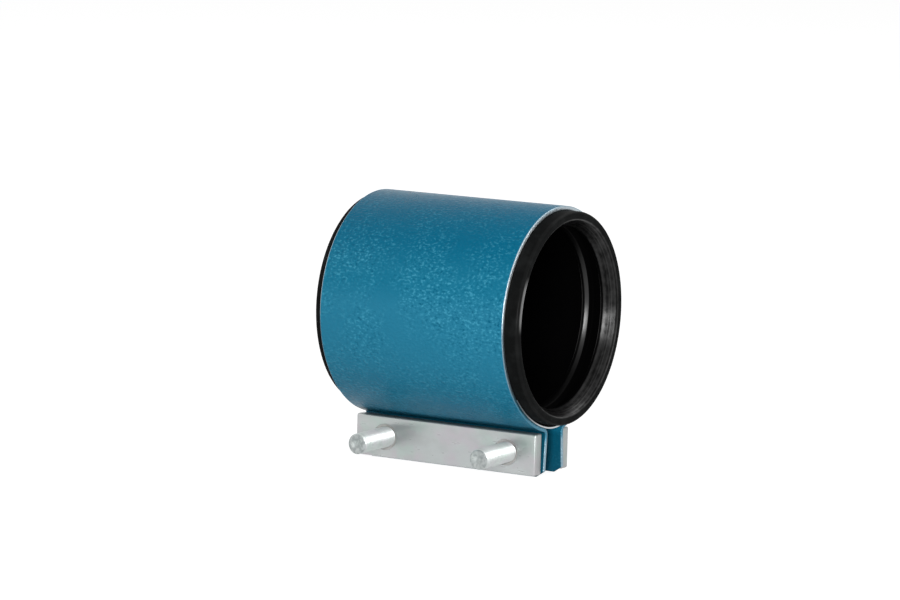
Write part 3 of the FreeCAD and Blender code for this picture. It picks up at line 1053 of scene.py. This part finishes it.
@dataclass
class FlatBar:
    """A flat bar outside an ear, with a hole for each screw: tapped and countersunk, or plain."""

    node: str
    finish: bpy.types.Material
    hole: float
    tapped: bool
    edge_round: float = 0.9 * MM
    mouth: float = 1.38 * MM
    front_bevel: float = 0.25 * MM
    rear_bevel: float = 0.3 * MM
    tap_slack: float = 0.12 * MM
    tap_crest: float = 0.28 * MM
    tap_root: float = 0.30 * MM
    past: float = 2 * MM
    steps: int = 64

    def build(self) -> None:
        """Make the bar, drill it and, at the front, tap and countersink it."""
        low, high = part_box(self.node)
        bpy.ops.mesh.primitive_cube_add(size=1)
        piece = Piece(f"{self.node}_plated")
        with piece.editing():
            bpy.ops.transform.resize(value=high - low)
            bpy.ops.transform.translate(value=(low + high) / 2)
        piece.soften(self.edge_round, segments=5)
        for side in ("left", "right"):
            self.drill(piece, SCREWS.place(side), low.y, high.y)
        piece.shade()
        piece.dress("connector", Slot.BAR, self.finish, self.node)

    def drill(self, piece: Piece, place: Vector, front: float, back: float) -> None:
        """Drill the bar along a screw's line, between the Y of its front and its back face."""
        past, bevel, bore = self.past, self.rear_bevel, self.hole
        wide = bore + (self.mouth if self.tapped else self.front_bevel)
        if self.tapped:
            bore = SCREWS.radius - SCREWS.depth() + self.tap_slack
        outline = [
            Corner(front - past, 0),
            Corner(front - past, wide + past),
            Corner(front + wide - bore, bore),
            Corner(back - bevel, bore),
            Corner(back + past, bore + bevel + past),
            Corner(back + past, 0),
        ]
        drill = turned("bar_drill", outline, Axis.ALONG_SCREWS, self.steps, closed=False)
        drill.move(place)
        piece.combine(drill, "DIFFERENCE")
        if self.tapped:
            seat, pitch = SCREWS.seat, SCREWS.pitch
            first = seat - pitch * math.ceil((seat - front + 3 * past) / pitch)
            turns = math.ceil((back - front + 6 * past) / pitch)
            tap = thread("bar_tap", self.hole, self.tap_crest, self.tap_root, first, turns)
            tap.move(place)
            piece.combine(tap, "DIFFERENCE")


@dataclass
class HexScrew:
    """A hexagon screw threaded up to its head, with a dished end."""

    finish: bpy.types.Material
    size: Screws = SCREWS
    spare_turns: int = 4
    dish: float = 1.1 * MM
    dish_radius: float = 0.68 * SCREWS.radius
    floor: float = 0.75 * dish
    floor_radius: float = 0.35 * SCREWS.radius
    clearance: float = 0.01 * MM
    head_bevel: float = 0.4 * MM
    head_round: float = 0.12 * MM
    head_slope: float = math.radians(30)
    head_fall: float = 6 * MM
    shank_steps: int = 64
    head_steps: int = 96

    def shank(self) -> Piece:
        """Cut the thread and point its end."""
        size = self.size
        turns = math.ceil(size.length / size.pitch) + self.spare_turns
        first = size.seat - size.pitch * (turns - self.spare_turns // 2)
        rod = thread("screw_left_plated", size.radius, size.crest, size.root, first, turns)
        tip = size.seat - size.length
        blank = [
            Corner(tip + self.dish, 0),
            Corner(tip + self.floor, self.floor_radius),
            Corner(tip, self.dish_radius),
            Corner(tip, size.radius - size.tip_bevel),
            Corner(tip + size.tip_bevel, size.radius),
            Corner(tip + 2 * size.tip_bevel, size.radius + MM),
            Corner(size.seat + MM, size.radius + MM),
            Corner(size.seat + MM, 0),
        ]
        tool = turned("screw_blank", blank, Axis.ALONG_SCREWS, self.shank_steps, closed=False)
        rod.combine(tool, "INTERSECT")
        return rod

    def head(self) -> Piece:
        """Make the hexagon head with its bevelled top."""
        size = self.size
        seat = size.seat + self.clearance
        top = size.seat + size.head_height
        flat = size.flats / 2
        half_side = HALF_TURN / 6
        bpy.ops.mesh.primitive_cylinder_add(
            vertices=6,
            radius=flat / math.cos(half_side),
            depth=top - seat,
            rotation=(QUARTER_TURN, half_side, 0),
            location=(0, (seat + top) / 2, 0),
        )
        bpy.ops.object.transform_apply(location=True, rotation=True, scale=True)
        piece = Piece("screw_head")
        crown = flat - self.head_bevel
        blank = [
            Corner(seat - MM, 0),
            Corner(seat - MM, 2 * flat),
            Corner(top - self.head_fall, crown + self.head_fall / math.tan(self.head_slope)),
            Corner(top, crown),
            Corner(top, 0),
        ]
        cone = turned("head_blank", blank, Axis.ALONG_SCREWS, self.head_steps, closed=False)
        piece.combine(cone, "INTERSECT")
        piece.soften(self.head_round, above=25)
        return piece

    def build(self) -> None:
        """Make one screw and copy it to the other place."""
        left = self.shank()
        left.combine(self.head(), "UNION")
        left.shade(30)
        right = left.copy("screw_right_plated", SCREWS.place("right"))
        left.move(SCREWS.place("left"))
        left.dress("left_screw", Slot.FASTENER, self.finish, "screw_left")
        right.dress("right_screw", Slot.FASTENER, self.finish, "screw_right")


@dataclass
class Washer:
    """A punched flat washer under a screw head."""

    finish: bpy.types.Material
    hole: float = 5.25 * MM
    burr: float = 0.12 * MM
    rim_round: float = 0.45 * MM
    hole_round: float = 0.3 * MM
    steps: int = 72

    def build(self) -> None:
        """Turn one washer and copy it to the other place."""
        low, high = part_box("washer_left")
        radius = (high.x - low.x) / 2
        outline = [
            Corner(low.y, (radius + self.hole) / 2),
            Corner(low.y, radius, self.burr),
            Corner(high.y, radius, self.rim_round),
            Corner(high.y, self.hole, self.hole_round),
            Corner(low.y, self.hole, self.burr),
        ]
        left = turned("washer_left_plated", outline, Axis.ALONG_SCREWS, self.steps)
        left.shade()
        right = left.copy("washer_right_plated", SCREWS.place("right"))
        left.move(SCREWS.place("left"))
        left.dress("left_washer", Slot.FASTENER, self.finish, "washer_left")
        right.dress("right_washer", Slot.FASTENER, self.finish, "washer_right")


# Stage


def towards(azimuth: float, elevation: float) -> Vector:
    """Give the direction to a place round the object.

    Args:
        azimuth: Degrees round it; 0 is in front (-Y) and 90 at +X.
        elevation: Degrees above the bore.

    Returns:
        The direction, one long.
    """
    around, above = math.radians(azimuth), math.radians(elevation)
    level = math.cos(above)
    return Vector((math.sin(around) * level, -math.cos(around) * level, math.sin(above)))


@dataclass(frozen=True)
class Softbox:
    """A soft lamp that looks at the middle of the object, in degrees, metres and watts."""

    name: str
    azimuth: float
    elevation: float
    distance: float
    size: tuple[float, float]
    power: float

    def build(self) -> None:
        """Hang the lamp."""
        back = towards(self.azimuth, self.elevation)
        lamp = bpy.data.lights.new(self.name, "AREA")
        lamp.shape = "RECTANGLE"
        lamp.size, lamp.size_y = self.size
        lamp.energy = self.power
        holder = bpy.data.objects.new(self.name, lamp)
        holder.location = back * self.distance
        holder.rotation_euler = back.to_track_quat("Z", "Y").to_euler()
        bpy.context.scene.collection.objects.link(holder)


@dataclass(frozen=True)
class Studio:
    """Plain white floor and surroundings, soft lamps and the photograph's camera."""

    azimuth: float = 30.38
    elevation: float = 7.97
    roll: float = 1.527
    distance: float = 2.155
    sideways: float = -8.17 * MM
    upward: float = 3.59 * MM
    lens: float = 180.0
    farthest: float = 50.0
    surround: float = 0.18
    floor_glow: float = 0.88
    floor_half: float = 6.0
    floor_grey: Colour = (0.5, 0.5, 0.5)
    lamps: tuple[Softbox, ...] = (
        Softbox("front_softbox", 24, 1, 2.4, (0.5, 1.7), 59),
        Softbox("right_softbox", 105, 8, 1.5, (0.6, 0.6), 6),
        Softbox("left_softbox", -70, 25, 1.8, (1.2, 1.2), 3),
        Softbox("back_softbox", 165, 45, 2.4, (1.2, 1.2), 10),
    )

    def camera(self) -> None:
        """Set up the camera."""
        back = towards(self.azimuth, self.elevation)
        level = back.to_track_quat("Z", "Y").to_matrix()
        turn = level @ Matrix.Rotation(math.radians(self.roll), 3, "Z")
        right, up = turn.col[0], turn.col[1]
        camera = bpy.data.objects.new("camera", bpy.data.cameras.new("camera"))
        camera.data.lens = self.lens
        camera.data.clip_end = self.farthest
        camera.rotation_euler = turn.to_euler()
        camera.location = back * self.distance + right * self.sideways + up * self.upward
        bpy.context.scene.collection.objects.link(camera)
        bpy.context.scene.camera = camera

    def floor(self) -> None:
        """Lay the floor under the ears."""
        bpy.ops.mesh.primitive_plane_add(size=2 * self.floor_half, location=(0, 0, CAD_BOX[0].z))
        floor = bpy.context.object
        floor.name = "floor"
        shader = Shader("floor_white")
        white = (self.floor_glow,) * 3
        floor.data.materials.append(
            shader.finish(
                Base_Color=self.floor_grey,
                Roughness=1.0,
                Specular_IOR_Level=0.0,
                Emission_Color=shader.mix(shader.seen(), BLACK, white),
                Emission_Strength=1.0,
            )
        )

    def surroundings(self) -> None:
        """Make the world white for the camera and reflections, and a plain light otherwise."""
        world = bpy.data.worlds.new("white_surroundings")
        bpy.context.scene.world = world
        nodes = Nodes(world)
        plain, white = (
            nodes.node("ShaderNodeBackground", None, {"Color": WHITE, "Strength": glow})
            for glow in (self.surround, 1.0)
        )
        light = nodes.node("ShaderNodeMixShader", None, {0: nodes.seen(), 1: plain, 2: white})
        nodes.node("ShaderNodeOutputWorld", None, {"Surface": light})

    def build(self) -> None:
        """Set the stage."""
        bpy.context.scene.view_settings.view_transform = "Standard"
        self.camera()
        self.floor()
        self.surroundings()
        for lamp in self.lamps:
            lamp.build()


def main() -> None:
    """Build the stage and every piece."""
    logging.basicConfig(level=logging.INFO, format="%(name)s: %(message)s")
    Studio().build()
    paint = BandPaint().make()
    rubber = SleeveRubber().make()
    sheet = BrightSheet().make()
    # The bars' countersinks, of radius sunk, carry a painted highlight
    bar_zinc = ZincPlate(sheared=0.75, sunk=6.4 * MM).make()
    screw_zinc = ZincPlate(
        "zinc_fastener",
        colour=(0.60, 0.63, 0.62),
        rose=(0.60, 0.60, 0.61),
        mint=(0.57, 0.63, 0.60),
        metal=0.6,
        roughness=0.32,
        # tip: share of painted shade on the screw ends
        tip=0.75,
    ).make()
    plate = BridgePlate(sheet)
    Band(paint).build()
    plate.build()
    Sleeve(rubber, plate).build()
    FlatBar("front_bar", bar_zinc, hole=5.02 * MM, tapped=True).build()
    FlatBar("rear_bar", bar_zinc, hole=5.5 * MM, tapped=False).build()
    HexScrew(screw_zinc).build()
    Washer(screw_zinc).build()


if __name__ == "__main__":
    main()
